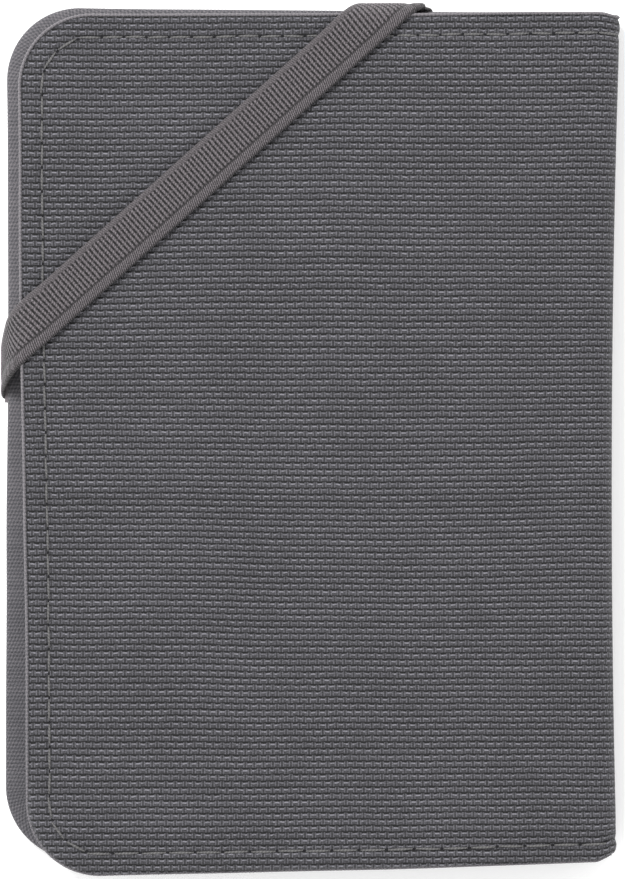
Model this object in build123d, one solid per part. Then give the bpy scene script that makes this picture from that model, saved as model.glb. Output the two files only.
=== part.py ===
"""Passport holder wallet, closed and lying on its back cover, with its corner strap on.

Frame, in millimetres: the origin is on the back cover's outer face, +X runs to the spine,
+Y runs up the cover's height, and +Z rises out of the front cover's outer face.
Two flat covers of sewn layers fold about a soft spine. An elastic strap is sewn into the
back cover's edge seam and crosses one corner of the front cover.
"""

import math
import os

from build123d import *

# Covers, seen from the front. The front cover's free corner is pulled in by the strap,
# so its outline sits a little right of and below the back cover's.
BACK_EDGES = {
    "left": -51.7,
    "top_left": 72.6,
    "top_right": 71.6,
    "bottom_left": -70.2,
    "bottom_right": -69.6,
}
FRONT_EDGES = {
    "left": -48.4,
    "top_left": 71.2,
    "top_right": 71.3,
    "bottom_left": -72.0,
    "bottom_right": -69.8,
}
CORNER_RADIUS = 12.4
COVER_RIGHT = 48.4
STIFF_INSET = 2.0
STIFF_RIGHT = 46.4
SPINE_OUTER = 50.6
CLOSED_HEIGHT = 12.4

# Thickness of each layer of a cover, from the outside in.
FABRIC = 0.7
BOARD = 0.8
FOIL = 0.15
LINING = 0.4
POCKET_GAP = 0.5
POCKET_FABRIC = 0.4
CARD_GAP = 0.15
CARD_FABRIC = 0.35
TAPE = 0.4
MOUTH_TAPE = 0.25

# Depth of each layer's outer face below the cover's outer face.
BOARD_AT = FABRIC
FOIL_AT = BOARD_AT + BOARD
LINING_AT = FOIL_AT + FOIL
SEAM_AT = LINING_AT + LINING
POCKET_AT = SEAM_AT + POCKET_GAP
FLANGE_AT = POCKET_AT + POCKET_FABRIC
FLANGE_END = FLANGE_AT + TAPE

# Edge tape: an angle section, with a wall round the edge and a flange inside.
TAPE_WALL = 0.7
TAPE_FLANGE_END = 6.2
TAPE_SET_BACK = 0.15
SPINE_TAPE_END = 1.2

# Lockstitch round the free edges.
STITCH_INSET = 4.0
STITCH_PITCH = 4.0
STITCH_LENGTH = 3.3
THREAD_WIDTH = 0.55
THREAD_HEIGHT = 0.25
GROOVE_WIDTH = 1.0
GROOVE_DEPTH = 0.3

# Inside the back cover: the passport sleeve, open towards the spine.
SLEEVE_MOUTH = 34.0
MOUTH_TAPE_WIDTH = 5.0

# Inside the front cover: a ticket pocket open at the spine side, with card slots on it.
TICKET_MOUTH = 48.0
CARD_LEFT, CARD_RIGHT = -41.9, 47.5
CARD_SEAM = 1.7
CARD_MOUTHS = (31.0, 17.0, 3.0)
CARD_BOTTOMS = (-21.0, -35.0, -65.0)
CARD_TAPE_WIDTH = 4.0
CARD_THREAD_INSET = 0.9

# Elastic strap. Its flat run crosses the front face between two fold lines, one along the
# front cover's left edge and one along its top edge; a side run drops from each of them
# past the back cover's edge to its seam.
STRAP_THICKNESS = 1.1
STRAP_CLEARANCE = 0.15
STRAP_SLOPE = 0.898
STRAP_LEFT_FOLD = (12.9, 23.7)
STRAP_FOLD_X = FRONT_EDGES["left"] - STRAP_CLEARANCE
STRAP_FOLD_Y = FRONT_EDGES["top_left"] + STRAP_CLEARANCE
STRAP_SEAM_Y = 71.9
STRAP_SEAM_LEFT = (6.6, 14.6)
STRAP_SEAM_TOP = (12.4, 20.4)
STRAP_END_DEPTH = 7.0
STRAP_END_SLACK = 0.2
STRAP_GAP = 0.2

BACK, FRONT = "back", "front"


def edges_of(cover):
    return BACK_EDGES if cover == BACK else FRONT_EDGES


def outline(cover, inset, right=COVER_RIGHT):
    """The cover's outline as a face, set in from its three free edges."""
    e = edges_of(cover)
    left = e["left"] + inset
    corners = [
        (left, e["bottom_left"] + inset),
        (COVER_RIGHT, e["bottom_right"] + inset),
        (COVER_RIGHT, e["top_right"] - inset),
        (left, e["top_left"] - inset),
    ]
    face = make_face(Polyline(*corners, close=True))
    free_corners = face.vertices().sort_by(Axis.X)[:2]
    face = fillet(free_corners, CORNER_RADIUS - inset)
    if right < COVER_RIGHT:
        face = face & rectangle(e["left"], right, e["bottom_left"] - 1, e["top_left"] + 1)
    return face


def seam_path(cover, inset):
    """The open line that runs round the cover's free edges at that inset."""
    e = edges_of(cover)
    left = e["left"] + inset
    return FilletPolyline(
        (COVER_RIGHT, e["top_right"] - inset),
        (left, e["top_left"] - inset),
        (left, e["bottom_left"] + inset),
        (COVER_RIGHT, e["bottom_right"] + inset),
        radius=CORNER_RADIUS - inset,
    )


def heights(cover, depth, thickness):
    """The low and high Z of a layer that starts at a depth below the cover's outer face."""
    if cover == BACK:
        return depth, depth + thickness
    return CLOSED_HEIGHT - depth - thickness, CLOSED_HEIGHT - depth


def layer(cover, face, depth, thickness):
    low, high = heights(cover, depth, thickness)
    return Pos(0, 0, low) * extrude(face, high - low)


def rectangle(left, right, bottom, top):
    return Pos((left + right) / 2, (bottom + top) / 2) * Rectangle(right - left, top - bottom)


def block(low, high):
    """An axis-aligned box between two corners."""
    size = [b - a for a, b in zip(low, high)]
    middle = [(a + b) / 2 for a, b in zip(low, high)]
    return Pos(*middle) * Box(*size)


def save(name, *shapes):
    """Writes one node, of one solid or of a group of separate solids."""
    solids = [solid for shape in shapes for solid in shape.solids()]
    shape = solids[0] if len(solids) == 1 else Compound(children=solids)
    export_step(shape, f"parts/{name}.step")


def outer_panel(cover):
    """Woven shell fabric, with the channel that the stitches pull into it."""
    panel = layer(cover, outline(cover, TAPE_WALL), 0, FABRIC)
    near = outline(cover, STITCH_INSET - GROOVE_WIDTH / 2)
    far = outline(cover, STITCH_INSET + GROOVE_WIDTH / 2)
    return panel - layer(cover, near - far, 0, GROOVE_DEPTH)


def edge_tape(cover):
    """Grosgrain tape round the free edges, folded over onto the inside."""
    wall = outline(cover, 0) - outline(cover, TAPE_WALL)
    flange = outline(cover, 0) - outline(cover, TAPE_FLANGE_END)
    tape = layer(cover, wall, TAPE_SET_BACK, FLANGE_END - TAPE_SET_BACK)
    tape += layer(cover, flange, FLANGE_AT, TAPE)
    return tape


def pocket_seams(cover):
    """Folded seam allowances that hold a pocket's three sewn sides off the lining.

    One straight strip lies along each side, and one curved strip in each free corner.
    """
    ring = outline(cover, TAPE_WALL) - outline(cover, TAPE_FLANGE_END)
    e = edges_of(cover)
    left, top, bottom = e["left"], e["top_left"], e["bottom_left"]
    turn = left + CORNER_RADIUS
    high, low = top - CORNER_RADIUS, bottom + CORNER_RADIUS
    pieces = []
    for box in (
        rectangle(left, turn, low, high),
        rectangle(left, turn, high, top),
        rectangle(left, turn, bottom, low),
        rectangle(turn, COVER_RIGHT, high, top),
        rectangle(turn, COVER_RIGHT, bottom, low),
    ):
        pieces.append(layer(cover, ring & box, SEAM_AT, POCKET_GAP))
    return pieces


def stitches(cover, depth, height):
    """Separate stitches along the edge seam, from a depth inwards."""
    path = seam_path(cover, STITCH_INSET)
    count = int(path.length / STITCH_PITCH)
    low, high = heights(cover, depth, height)
    stitch = Box(STITCH_LENGTH, THREAD_WIDTH, high - low)
    made = []
    for i in range(count):
        share = (i + 0.5) / count
        point, along = path @ share, path % share
        turn = math.degrees(math.atan2(along.Y, along.X))
        made.append(Pos(point.X, point.Y, (low + high) / 2) * Rot(0, 0, turn) * stitch)
    return made


def shared_layers(cover):
    """The layers that both covers have."""
    inner = outline(cover, TAPE_WALL)
    save(f"{cover}_outer_panel", outer_panel(cover))
    stiff = outline(cover, STIFF_INSET, STIFF_RIGHT)
    save(f"{cover}_board", layer(cover, stiff, BOARD_AT, BOARD))
    save(f"{cover}_shield_foil", layer(cover, stiff, FOIL_AT, FOIL))
    save(f"{cover}_lining", layer(cover, inner, LINING_AT, LINING))
    thread_at = GROOVE_DEPTH - THREAD_HEIGHT
    save(f"{cover}_outer_thread", *stitches(cover, thread_at, THREAD_HEIGHT))
    save(f"{cover}_inner_thread", *stitches(cover, FLANGE_END, THREAD_HEIGHT))


def strap_end_boxes(slack):
    """The two places in the back cover's seam where the strap's ends are sewn in."""
    low, high = heights(BACK, SEAM_AT, POCKET_GAP)
    left, top = BACK_EDGES["left"], STRAP_SEAM_Y
    (y0, y1), (x0, x1) = STRAP_SEAM_LEFT, STRAP_SEAM_TOP
    return (
        block((left, y0 - slack, low), (left + STRAP_END_DEPTH, y1 + slack, high)),
        block((x0 - slack, top - STRAP_END_DEPTH, low), (x1 + slack, top, high)),
    )


def back_cover():
    shared_layers(BACK)
    left_end, top_end = strap_end_boxes(0)
    left_slot, top_slot = strap_end_boxes(STRAP_END_SLACK)
    save("strap_end_left", left_end)
    save("strap_end_top", top_end)
    save("back_edge_tape", edge_tape(BACK) - left_slot - top_slot)
    save("sleeve_seams", *[strip - left_slot - top_slot for strip in pocket_seams(BACK)])

    sleeve = outline(BACK, TAPE_WALL, SLEEVE_MOUTH)
    save("passport_sleeve", layer(BACK, sleeve, POCKET_AT, POCKET_FABRIC))
    inside = outline(BACK, TAPE_FLANGE_END, SLEEVE_MOUTH)
    mouth = inside & rectangle(SLEEVE_MOUTH - MOUTH_TAPE_WIDTH, SLEEVE_MOUTH, -100, 100)
    save("sleeve_mouth_tape", layer(BACK, mouth, FLANGE_AT, MOUTH_TAPE))


def card_depth(slot):
    """Depth of a card slot panel's outer face; slot 0 lies deepest."""
    return FLANGE_AT + CARD_GAP + slot * (CARD_FABRIC + CARD_GAP)


def card_slots():
    """Three stepped card slots on the ticket pocket, each with its seams and mouth tape."""
    seams = []
    for slot, (bottom, mouth) in enumerate(zip(CARD_BOTTOMS, CARD_MOUTHS)):
        depth = card_depth(slot)
        panel = rectangle(CARD_LEFT, CARD_RIGHT, bottom, mouth)
        save(f"card_slot_{slot + 1}", layer(FRONT, panel, depth, CARD_FABRIC))
        tape = rectangle(CARD_LEFT, CARD_RIGHT, mouth - CARD_TAPE_WIDTH, mouth)
        tape_node = f"card_mouth_tape_{slot + 1}"
        save(tape_node, layer(FRONT, tape, depth + CARD_FABRIC, MOUTH_TAPE))
        for strip in (
            rectangle(CARD_LEFT, CARD_LEFT + CARD_SEAM, bottom + CARD_SEAM, mouth),
            rectangle(CARD_RIGHT - CARD_SEAM, CARD_RIGHT, bottom + CARD_SEAM, mouth),
            rectangle(CARD_LEFT, CARD_RIGHT, bottom, bottom + CARD_SEAM),
        ):
            seams.append(layer(FRONT, strip, depth - CARD_GAP, CARD_GAP))
    save("card_slot_seams", *seams)


def card_thread():
    """Stitches down both sides of the card slots, on whichever panel is uppermost."""
    made = []
    stitch = Box(THREAD_WIDTH, STITCH_LENGTH, THREAD_HEIGHT)
    steps = (*CARD_MOUTHS, CARD_BOTTOMS[-1])
    for slot in range(len(CARD_MOUTHS)):
        top, bottom = steps[slot] - CARD_TAPE_WIDTH, steps[slot + 1]
        count = int((top - bottom) / STITCH_PITCH)
        low, high = heights(FRONT, card_depth(slot) + CARD_FABRIC, THREAD_HEIGHT)
        for i in range(count):
            y = top - (i + 0.5) * (top - bottom) / count
            for x in (CARD_LEFT + CARD_THREAD_INSET, CARD_RIGHT - CARD_THREAD_INSET):
                made.append(Pos(x, y, (low + high) / 2) * stitch)
    save("card_slot_thread", *made)


def front_cover():
    shared_layers(FRONT)
    save("front_edge_tape", edge_tape(FRONT))
    save("ticket_pocket_seams", *pocket_seams(FRONT))
    pocket = outline(FRONT, TAPE_WALL, TICKET_MOUTH)
    save("ticket_pocket", layer(FRONT, pocket, POCKET_AT, POCKET_FABRIC))
    card_slots()
    card_thread()


def spine():
    """The strip of the shell between the two folds, with its foil, lining and end tapes."""
    top, bottom = FRONT_EDGES["top_right"], FRONT_EDGES["bottom_right"]
    outer = SPINE_OUTER
    thicknesses = {"spine_outer_panel": FABRIC, "spine_foil": FOIL, "spine_lining": LINING}
    for name, thickness in thicknesses.items():
        low, high = (outer - thickness, bottom, 0), (outer, top, CLOSED_HEIGHT)
        save(name, block(low, high))
        outer -= thickness
    tapes = []
    for y0, y1 in ((top - TAPE_FLANGE_END, top), (bottom, bottom + TAPE_FLANGE_END)):
        low = (outer - TAPE, y0, SPINE_TAPE_END)
        high = (outer, y1, CLOSED_HEIGHT - SPINE_TAPE_END)
        tapes.append(block(low, high))
    save("spine_end_tapes", *tapes)


def thick_quad(corners, normal):
    """A flat four-cornered plate, thickened along its outward normal."""
    face = make_face(Polyline(*corners, close=True))
    return extrude(face, STRAP_THICKNESS, dir=normal)


def side_run(fold, seam):
    """The plate from a fold line down to a seam line, and the round bend above it."""
    (a, b), (c, d) = fold, seam
    along = Vector(*b) - Vector(*a)
    down = Vector(*c) - Vector(*a)
    normal = along.cross(down).normalized()
    middle = (Vector(*a) + Vector(*b)) * 0.5
    if normal.dot(Vector(middle.X, middle.Y, 0)) < 0:
        normal = normal * -1
    plane = Plane(origin=a, z_dir=along.normalized())
    bend = extrude(plane * Circle(STRAP_THICKNESS), along.length)
    return thick_quad((a, b, d, c), normal) + bend


def strap():
    """The elastic: a flat run over the front face and a side run at each end."""
    x, y = STRAP_FOLD_X, STRAP_FOLD_Y
    low, high = STRAP_LEFT_FOLD
    top_z = CLOSED_HEIGHT + STRAP_CLEARANCE
    seam_z = SEAM_AT + POCKET_GAP / 2
    near, far = x + (y - low) / STRAP_SLOPE, x + (y - high) / STRAP_SLOPE
    left_fold = ((x, low, top_z), (x, high, top_z))
    top_fold = ((near, y, top_z), (far, y, top_z))
    seam_x = BACK_EDGES["left"] - STRAP_GAP
    seam_y = BACK_EDGES["top_left"] + STRAP_GAP
    left_seam = tuple((seam_x, v, seam_z) for v in STRAP_SEAM_LEFT)
    top_seam = tuple((u, seam_y, seam_z) for u in reversed(STRAP_SEAM_TOP))

    flat = thick_quad((left_fold[0], top_fold[0], top_fold[1], left_fold[1]), (0, 0, 1))
    whole = flat + side_run(left_fold, left_seam) + side_run(top_fold, top_seam)
    room = -STRAP_CLEARANCE
    front_room = layer(FRONT, outline(FRONT, room), room, CLOSED_HEIGHT)
    back_room = layer(BACK, outline(BACK, room), room, FLANGE_END - 2 * room)
    save("elastic_strap", whole - front_room - back_room)


def main():
    os.makedirs("parts", exist_ok=True)
    back_cover()
    front_cover()
    spine()
    strap()


main()
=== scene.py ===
"""Looks of the passport holder wallet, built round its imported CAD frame.

Lengths here are millimetres until make_mesh() turns them into metres. A point of the shell
is given by (a, y, depth): a runs across the cloth from the free edge, round the fold and up
to mid-spine, y runs up the cover, and depth goes inwards from the outer face.
"""

import math

import bmesh
import bpy
import numpy as np
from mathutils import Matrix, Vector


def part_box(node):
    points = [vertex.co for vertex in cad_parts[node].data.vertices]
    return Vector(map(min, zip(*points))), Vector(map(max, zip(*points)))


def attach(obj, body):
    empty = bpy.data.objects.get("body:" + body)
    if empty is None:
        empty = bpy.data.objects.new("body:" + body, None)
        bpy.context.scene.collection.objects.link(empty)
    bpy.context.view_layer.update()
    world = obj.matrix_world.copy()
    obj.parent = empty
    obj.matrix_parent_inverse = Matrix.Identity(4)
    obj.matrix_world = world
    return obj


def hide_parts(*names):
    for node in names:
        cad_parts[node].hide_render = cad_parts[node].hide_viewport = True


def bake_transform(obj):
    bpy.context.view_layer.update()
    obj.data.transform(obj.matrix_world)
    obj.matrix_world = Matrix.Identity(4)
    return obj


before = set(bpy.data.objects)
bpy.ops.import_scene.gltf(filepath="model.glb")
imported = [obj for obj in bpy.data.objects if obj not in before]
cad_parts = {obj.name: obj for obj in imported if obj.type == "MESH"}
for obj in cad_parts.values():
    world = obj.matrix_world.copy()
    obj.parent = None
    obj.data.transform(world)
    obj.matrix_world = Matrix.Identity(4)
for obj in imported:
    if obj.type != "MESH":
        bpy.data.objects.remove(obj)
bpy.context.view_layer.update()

MM = 0.001
TAU = 2 * math.pi
UV_NAME = "cloth"

# Shell: how the cloth folds at the spine, and how the sewn edge shapes it.
FOLD_RADIUS = 3.5
SPINE_PROUD = 0.55
SPINE_BOW = 1.1
SPINE_LEAN = 0.25
BOW_REACH, BOW_LEAD, BOW_EASE = 70.0, 22, 24
SHELL_THICKNESS = 0.6
SHELL_START = 0.36
SHELL_STEPS = 0.36, 0.7
ROLL_WIDTH = 1.5
ROLL_DEPTH = 0.8
PUFF_HEIGHT, PUFF_AT, PUFF_WIDTH = 0.16, 1.6, 0.9
SWELL_WIDTH = 5
GROOVE_DEPTH = 0.36
GROOVE_HALF_WIDTH = 0.55
GROOVE_REACH = 2.6
FACE_WAVE, FACE_WAVE_LENGTH = 0.12, 46
FACE_SINK, BACK_SINK = 0.2, 0.14
STRAP_DENT, DENT_EDGE, DENT_WIDTH = 0.2, 0.5, 1.25
FINE_BAND = 13
SHARP_ANGLE = math.radians(75)

# How far the free edges lean, sag and lift, and where the corners tuck in at the spine.
LEAN_END, LEAN_SPAN = 20, 55
LEAST_LEAN, FRONT_LEAN, BACK_LEAN = 0.05, 0.65, 0.4
FRONT_SAG, FRONT_LIFT, BACK_LIFT = 0.45, 0.25, 0.3
LIFT_FROM, LIFT_SPAN = 30, 40
CORNER_TUCK = {"low": 0.95, "high": 0.55}
TUCK_FROM = {"low": 60, "high": 62}
TUCK_SPAN = 10

# Lining and pockets.
LINING_INSET = 0.9
LINING_STEPS = 1.2, 1.6
LINING_THICKNESS = 0.25
LINING_LAP = 0.08
FOIL_SHORT, FOIL_THICKNESS = 2.5, 0.12
POCKET_STEP = 1.5

# Ribbed tape on the edges and the pocket mouths.
TAPE_THICKNESS = 0.4
TAPE_FLANGE = 6.2
TAPE_RIB = 0.62
TAPE_RIB_HEIGHT = 0.035
MOUTH_RIB_HEIGHT = 0.05
LIP_HIDDEN_BELOW = -60.0

# Lockstitch.
STITCH_INSET = 4.0
CARD_SEAM_SHIFT = 0.9
STITCH_PITCHES = {"top": 3.7, "side": 4.0, "bottom": 4.6}
STITCH_SHARE = 0.88
THREAD_RADIUS = 0.2
THREAD_RISE = 0.3
THREAD_SIDES, THREAD_RINGS = 8, 9
SEAM_STEP, SEAM_WANDER = 0.1, 0.07
SEAM_SEED, CARD_SEAM_SEED = 200, 600
HOLE_RADIUS, HOLE_SIDES = 0.3, 10
HOLE_RINGS = (0.35, 0.05), (0.75, 0.035), (1.0, -0.02)

# Elastic strap.
STRAP_THICKNESS = 1.05
STRAP_HALF_WIDTH = 3.95
STRAP_MIDDLE = 17.9
STRAP_SLOPE = 0.898
STRAP_RIB = 0.76
STRAP_LIFT = 0.16
STRAP_SET_OUT = 0.15
STRAP_FLAT, STRAP_BEND_FROM = 8, -7
EDGE_HUMP, HUMP_WIDTH = 0.34, 2.2
STRAP_PRESSED = 0.4

# The span along the fold's diagonal where a piece would bend over a fold; bend() works it out but
# does not use it.
BEND_MIDDLE, BEND_SPREAD = 0.1, 2.1

# Light and camera, in metres and watts where not said.
WORLD_LIGHT, FLOOR_GLOW = 1.2, 0.18
FLOOR_HALF, FLOOR_DROP_MM = 9, 0.05
KEY_PLACE, KEY_SIZE, KEY_POWER = (-0.4, 0.55, 0.9), 0.35, 10
SENSOR_MM, LENS_MM = 24, 164.6
CAMERA_MM = -0.17, 0.41
CAMERA_DISTANCE = 1.0


def mm_box(node):
    low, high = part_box(node)
    return np.array(low) / MM, np.array(high) / MM


def smooth(t):
    t = np.clip(t, 0, 1)
    return t * t * (3 - 2 * t)


def waves(u, v, seed, length):
    """A gentle uneven surface, from about -1 to 1, the same each run."""
    count, rng = 6, np.random.default_rng(seed)
    total = np.zeros(np.broadcast(u, v).shape)
    for _ in range(count):
        turn, phase = rng.uniform(0, TAU, 2)
        rate = TAU / length * rng.uniform(0.6, 1.5)
        total += np.sin((u * math.cos(turn) + v * math.sin(turn)) * rate + phase)
    return total * 1.6 / count


# Meshes ---------------------------------------------------------------------------------


def show(made):
    bpy.context.scene.collection.objects.link(made)


def make_mesh(name, points, faces, uv, material):
    """A smooth-shaded object from points in mm, faces, and a UV for each point, in mm."""
    mesh = bpy.data.meshes.new(name)
    faces = faces if isinstance(faces, list) else faces.tolist()
    mesh.from_pydata((np.asarray(points) * MM).tolist(), [], faces)
    corner_points = np.zeros(len(mesh.loops), int)
    mesh.loops.foreach_get("vertex_index", corner_points)
    layer = mesh.uv_layers.new(name=UV_NAME)
    layer.data.foreach_set("uv", np.asarray(uv, float)[corner_points].ravel())
    mesh.polygons.foreach_set("use_smooth", [True] * len(mesh.polygons))
    mesh.materials.append(material)
    mesh.validate()
    made = bpy.data.objects.new(name, mesh)
    show(made)
    return made


def grid_faces(rows, columns, wrap=False):
    """Quads over a grid of points; wrap joins the last column to the first."""
    r, c = np.meshgrid(np.arange(rows - 1), np.arange(columns - (not wrap)), indexing="ij")
    after = (c + 1) % columns
    corners = (r * columns + c, r * columns + after)
    corners += ((r + 1) * columns + after, (r + 1) * columns + c)
    return np.stack(corners, -1).reshape(-1, 4)


def thick_sheet(name, outer, inner, uv, material):
    """A closed sheet from two matching grids of points, outer and inner."""
    rows, columns = outer.shape[:2]
    top = grid_faces(rows, columns)
    index = np.arange(rows * columns).reshape(rows, columns)
    rim = np.concatenate([index[0], index[1:, -1], index[-1, -2::-1], index[-2:0:-1, 0]])
    after = np.roll(rim, -1)
    below = rows * columns
    sides = np.stack([after, rim, rim + below, after + below], -1)
    faces = np.concatenate([top, top[:, ::-1] + below, sides])
    points = np.concatenate([outer.reshape(-1, 3), inner.reshape(-1, 3)])
    flat_uv = uv.reshape(-1, 2)
    made = make_mesh(name, points, faces, np.concatenate([flat_uv, flat_uv]), material)
    made.data.set_sharp_from_angle(angle=SHARP_ANGLE)
    return made


def swept(name, rings, uv, material):
    """A capped tube through rings of points, one row of the array for each ring."""
    rows, columns = rings.shape[:2]
    faces = grid_faces(rows, columns, wrap=True).tolist()
    faces.append(list(range(columns))[::-1])
    faces.append(list(range((rows - 1) * columns, rows * columns)))
    return name, rings.reshape(-1, 3), faces, uv.reshape(-1, 2), material


# The two halves of the shell ------------------------------------------------------------


class Cover:
    """One cover's outline, read from its edge tape, and the fold that joins it to the spine."""

    def __init__(self, name):
        self.name = name
        self.front = name == "front"
        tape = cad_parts[f"{name}_edge_tape"].data.vertices
        points = np.array([v.co[:2] for v in tape]) / MM
        self.left, self.right = points[:, 0].min(), points[:, 0].max()
        end = points[points[:, 0] > self.right - 0.01]
        self.top_right, self.bottom_right = end[:, 1].max(), end[:, 1].min()
        half = points[points[:, 0] < 0]
        top_x, top_y = half[half[:, 1] > half[:, 1].max() - 0.02].max(0)
        low_x, low_y = half[half[:, 1] < half[:, 1].min() + 0.02][:, 0].max(), half[:, 1].min()
        self.top_slope = (self.top_right - top_y) / (self.right - top_x)
        self.bottom_slope = (self.bottom_right - low_y) / (self.right - low_x)
        self.radius = top_x - self.left
        spine_high = mm_box("spine_outer_panel")[1]
        self.height = spine_high[2]
        self.spine_x = spine_high[0]
        self.fold_start = self.spine_x - FOLD_RADIUS
        self.fold_end = self.fold_start + FOLD_RADIUS * math.pi / 2
        self.end = self.fold_end + self.height / 2 - FOLD_RADIUS
        self.flange = self.layer_depth(f"{name}_edge_tape") - TAPE_THICKNESS
        self.lining = self.layer_depth(f"{name}_lining")
        self.spine_lining = self.spine_x - mm_box("spine_lining")[0][0]

    def layer_depth(self, node):
        """How deep a node's inner face lies below the cover's outer face."""
        low, high = mm_box(node)
        return self.height - low[2] if self.front else high[2]

    def top(self, x):
        return self.top_right + self.top_slope * np.minimum(x - self.right, 0)

    def bottom(self, x):
        return self.bottom_right + self.bottom_slope * np.minimum(x - self.right, 0)

    def centres(self):
        """The centres of the two free corners' arcs, the top one first."""
        x = self.left + self.radius
        return (x, self.top(x) - self.radius), (x, self.bottom(x) + self.radius)

    def edge_distance(self, a, y):
        """Distance in from the nearest free edge."""
        far = np.minimum(a - self.left, np.minimum(self.top(a) - y, y - self.bottom(a)))
        for (cx, cy), side in zip(self.centres(), (1, -1)):
            in_corner = (a < cx) & ((y - cy) * side > 0)
            far = np.where(in_corner, self.radius - np.hypot(a - cx, y - cy), far)
        return far

    def fold(self, a, y, depth):
        """Where a point of the shell lies on the closed wallet."""
        a, y, depth = np.broadcast_arrays(a, y, depth)
        turn = np.clip((a - self.fold_start) / FOLD_RADIUS, 0, math.pi / 2)
        rise = np.maximum(a - self.fold_end, 0)
        x = np.minimum(a, self.fold_start) + (FOLD_RADIUS - depth) * np.sin(turn)
        z = FOLD_RADIUS - (FOLD_RADIUS - depth) * np.cos(turn) + rise
        share = np.clip(y / BOW_REACH, -1, 1)
        bow = SPINE_PROUD - SPINE_BOW * (1 - share**2) - SPINE_LEAN * (1 - share)
        x = x + bow * smooth((a - self.fold_start + BOW_LEAD) / BOW_EASE)
        x, y = self.pulled(a, x, y)
        return np.stack([x, y, self.height - z if self.front else z], -1)

    def pulled(self, a, x, y):
        """A sewn cover isn't quite true: its free edges lean and stretch a little."""
        near_left = smooth((LEAN_END - a) / LEAN_SPAN)
        at_spine = smooth((a - self.fold_start + 0.5) / 4.5)
        y = y + at_spine * CORNER_TUCK["low"] * smooth((-y - TUCK_FROM["low"]) / TUCK_SPAN)
        y = y - at_spine * CORNER_TUCK["high"] * smooth((y - TUCK_FROM["high"]) / TUCK_SPAN)
        if self.front:
            x = x - (LEAST_LEAN + FRONT_LEAN * np.tanh(y / 30)) * near_left
            sag = -FRONT_SAG * smooth((-y - LIFT_FROM) / LIFT_SPAN) * smooth((52 - a) / LIFT_SPAN)
            lift = FRONT_LIFT * smooth((y - LIFT_FROM) / LIFT_SPAN)
            return x, y + sag + lift * smooth((a - 10) / LIFT_SPAN)
        x = x + (LEAST_LEAN + BACK_LEAN * np.exp(-(((y - 25) / 40) ** 2))) * near_left
        return x, y + BACK_LIFT * smooth((y - LIFT_FROM) / LIFT_SPAN)

    def inner_depth(self, a, at_cover, at_spine):
        """A layer's depth, which steps from the cover's to the thinner spine's."""
        return at_cover + (at_spine - at_cover) * smooth((a - self.right + 3) / 4.5)

    def rim(self, inset=0.0):
        """Dense points of the line at that inset, round the free edges from spine to spine."""
        end = self.end
        (x, y_top), (_, y_bottom) = self.centres()
        angles = np.linspace(0, math.pi / 2, 90)
        r = self.radius - inset
        top_arc = np.stack([x - r * np.sin(angles), y_top + r * np.cos(angles)], -1)
        low_arc = np.stack([x - r * np.cos(angles), y_bottom - r * np.sin(angles)], -1)
        start, stop = [[end, self.top(end) - inset]], [[end, self.bottom(end) + inset]]
        turn_top = [[self.right, self.top_right - inset]]
        turn_low = [[self.right, self.bottom_right + inset]]
        return np.concatenate([start, turn_top, top_arc, low_arc, turn_low, stop])


def walk(line, step):
    """Even steps along a line: positions, directions and the distance run."""
    legs = np.hypot(*np.diff(line, axis=0).T)
    run = np.concatenate([[0], np.cumsum(legs)])
    s = np.linspace(0, run[-1], int(run[-1] / step) + 1)
    place = np.stack([np.interp(s, run, line[:, k]) for k in range(2)], -1)
    along = np.gradient(place, s, axis=0)
    return place, along / np.hypot(*along.T)[:, None], s


def seam_line(cover):
    """The stitch line: places, directions, and the stitches counted from mid-height."""
    line = cover.rim(STITCH_INSET)
    share = (line[:, 0] - cover.left) / (cover.right - cover.left)
    drift = np.where(line[:, 1] > 0, 0.75 * share - 0.35, -0.4 - 0.5 * share)
    line[:, 1] += drift * smooth((line[:, 0] - cover.left - 4) / 20)
    place, along, s = walk(line, SEAM_STEP)
    inward = np.stack([-along[:, 1], along[:, 0]], -1)
    place += inward * SEAM_WANDER * waves(s, 0 * s, 9, 7)[:, None]
    on_side = place[:, 0] < cover.left + cover.radius
    level = np.where(place[:, 1] > 0, STITCH_PITCHES["top"], STITCH_PITCHES["bottom"])
    pitch = np.where(on_side, STITCH_PITCHES["side"], level)
    count = np.cumsum(np.gradient(s) / pitch)
    return place, along, count - count[len(count) // 2]


def seam_relief(cover, a, y):
    """How deep the stitch line pulls the cloth in at each point, from 0 to 1."""
    place, _, count = seam_line(cover)
    place, count = place[::4], count[::4]
    far = cover.edge_distance(a, y)
    near = (far > STITCH_INSET - GROOVE_REACH) & (far < STITCH_INSET + GROOVE_REACH)
    pull = np.zeros(np.shape(a))
    at, found = np.stack([a[near], y[near]], -1), []
    batch = 4000
    for k in range(0, len(at), batch):
        gaps = ((at[k : k + batch, None] - place) ** 2).sum(-1)
        best = gaps.argmin(1)
        hole = 0.5 - 0.5 * np.cos(TAU * count[best])
        width = GROOVE_HALF_WIDTH * (0.8 + 0.35 * hole)
        gap = gaps[np.arange(len(best)), best]
        found.append(np.exp(-gap / width**2) * (0.45 + 0.55 * hole))
    if found:
        pull[near] = np.concatenate(found)
    return pull


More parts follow.
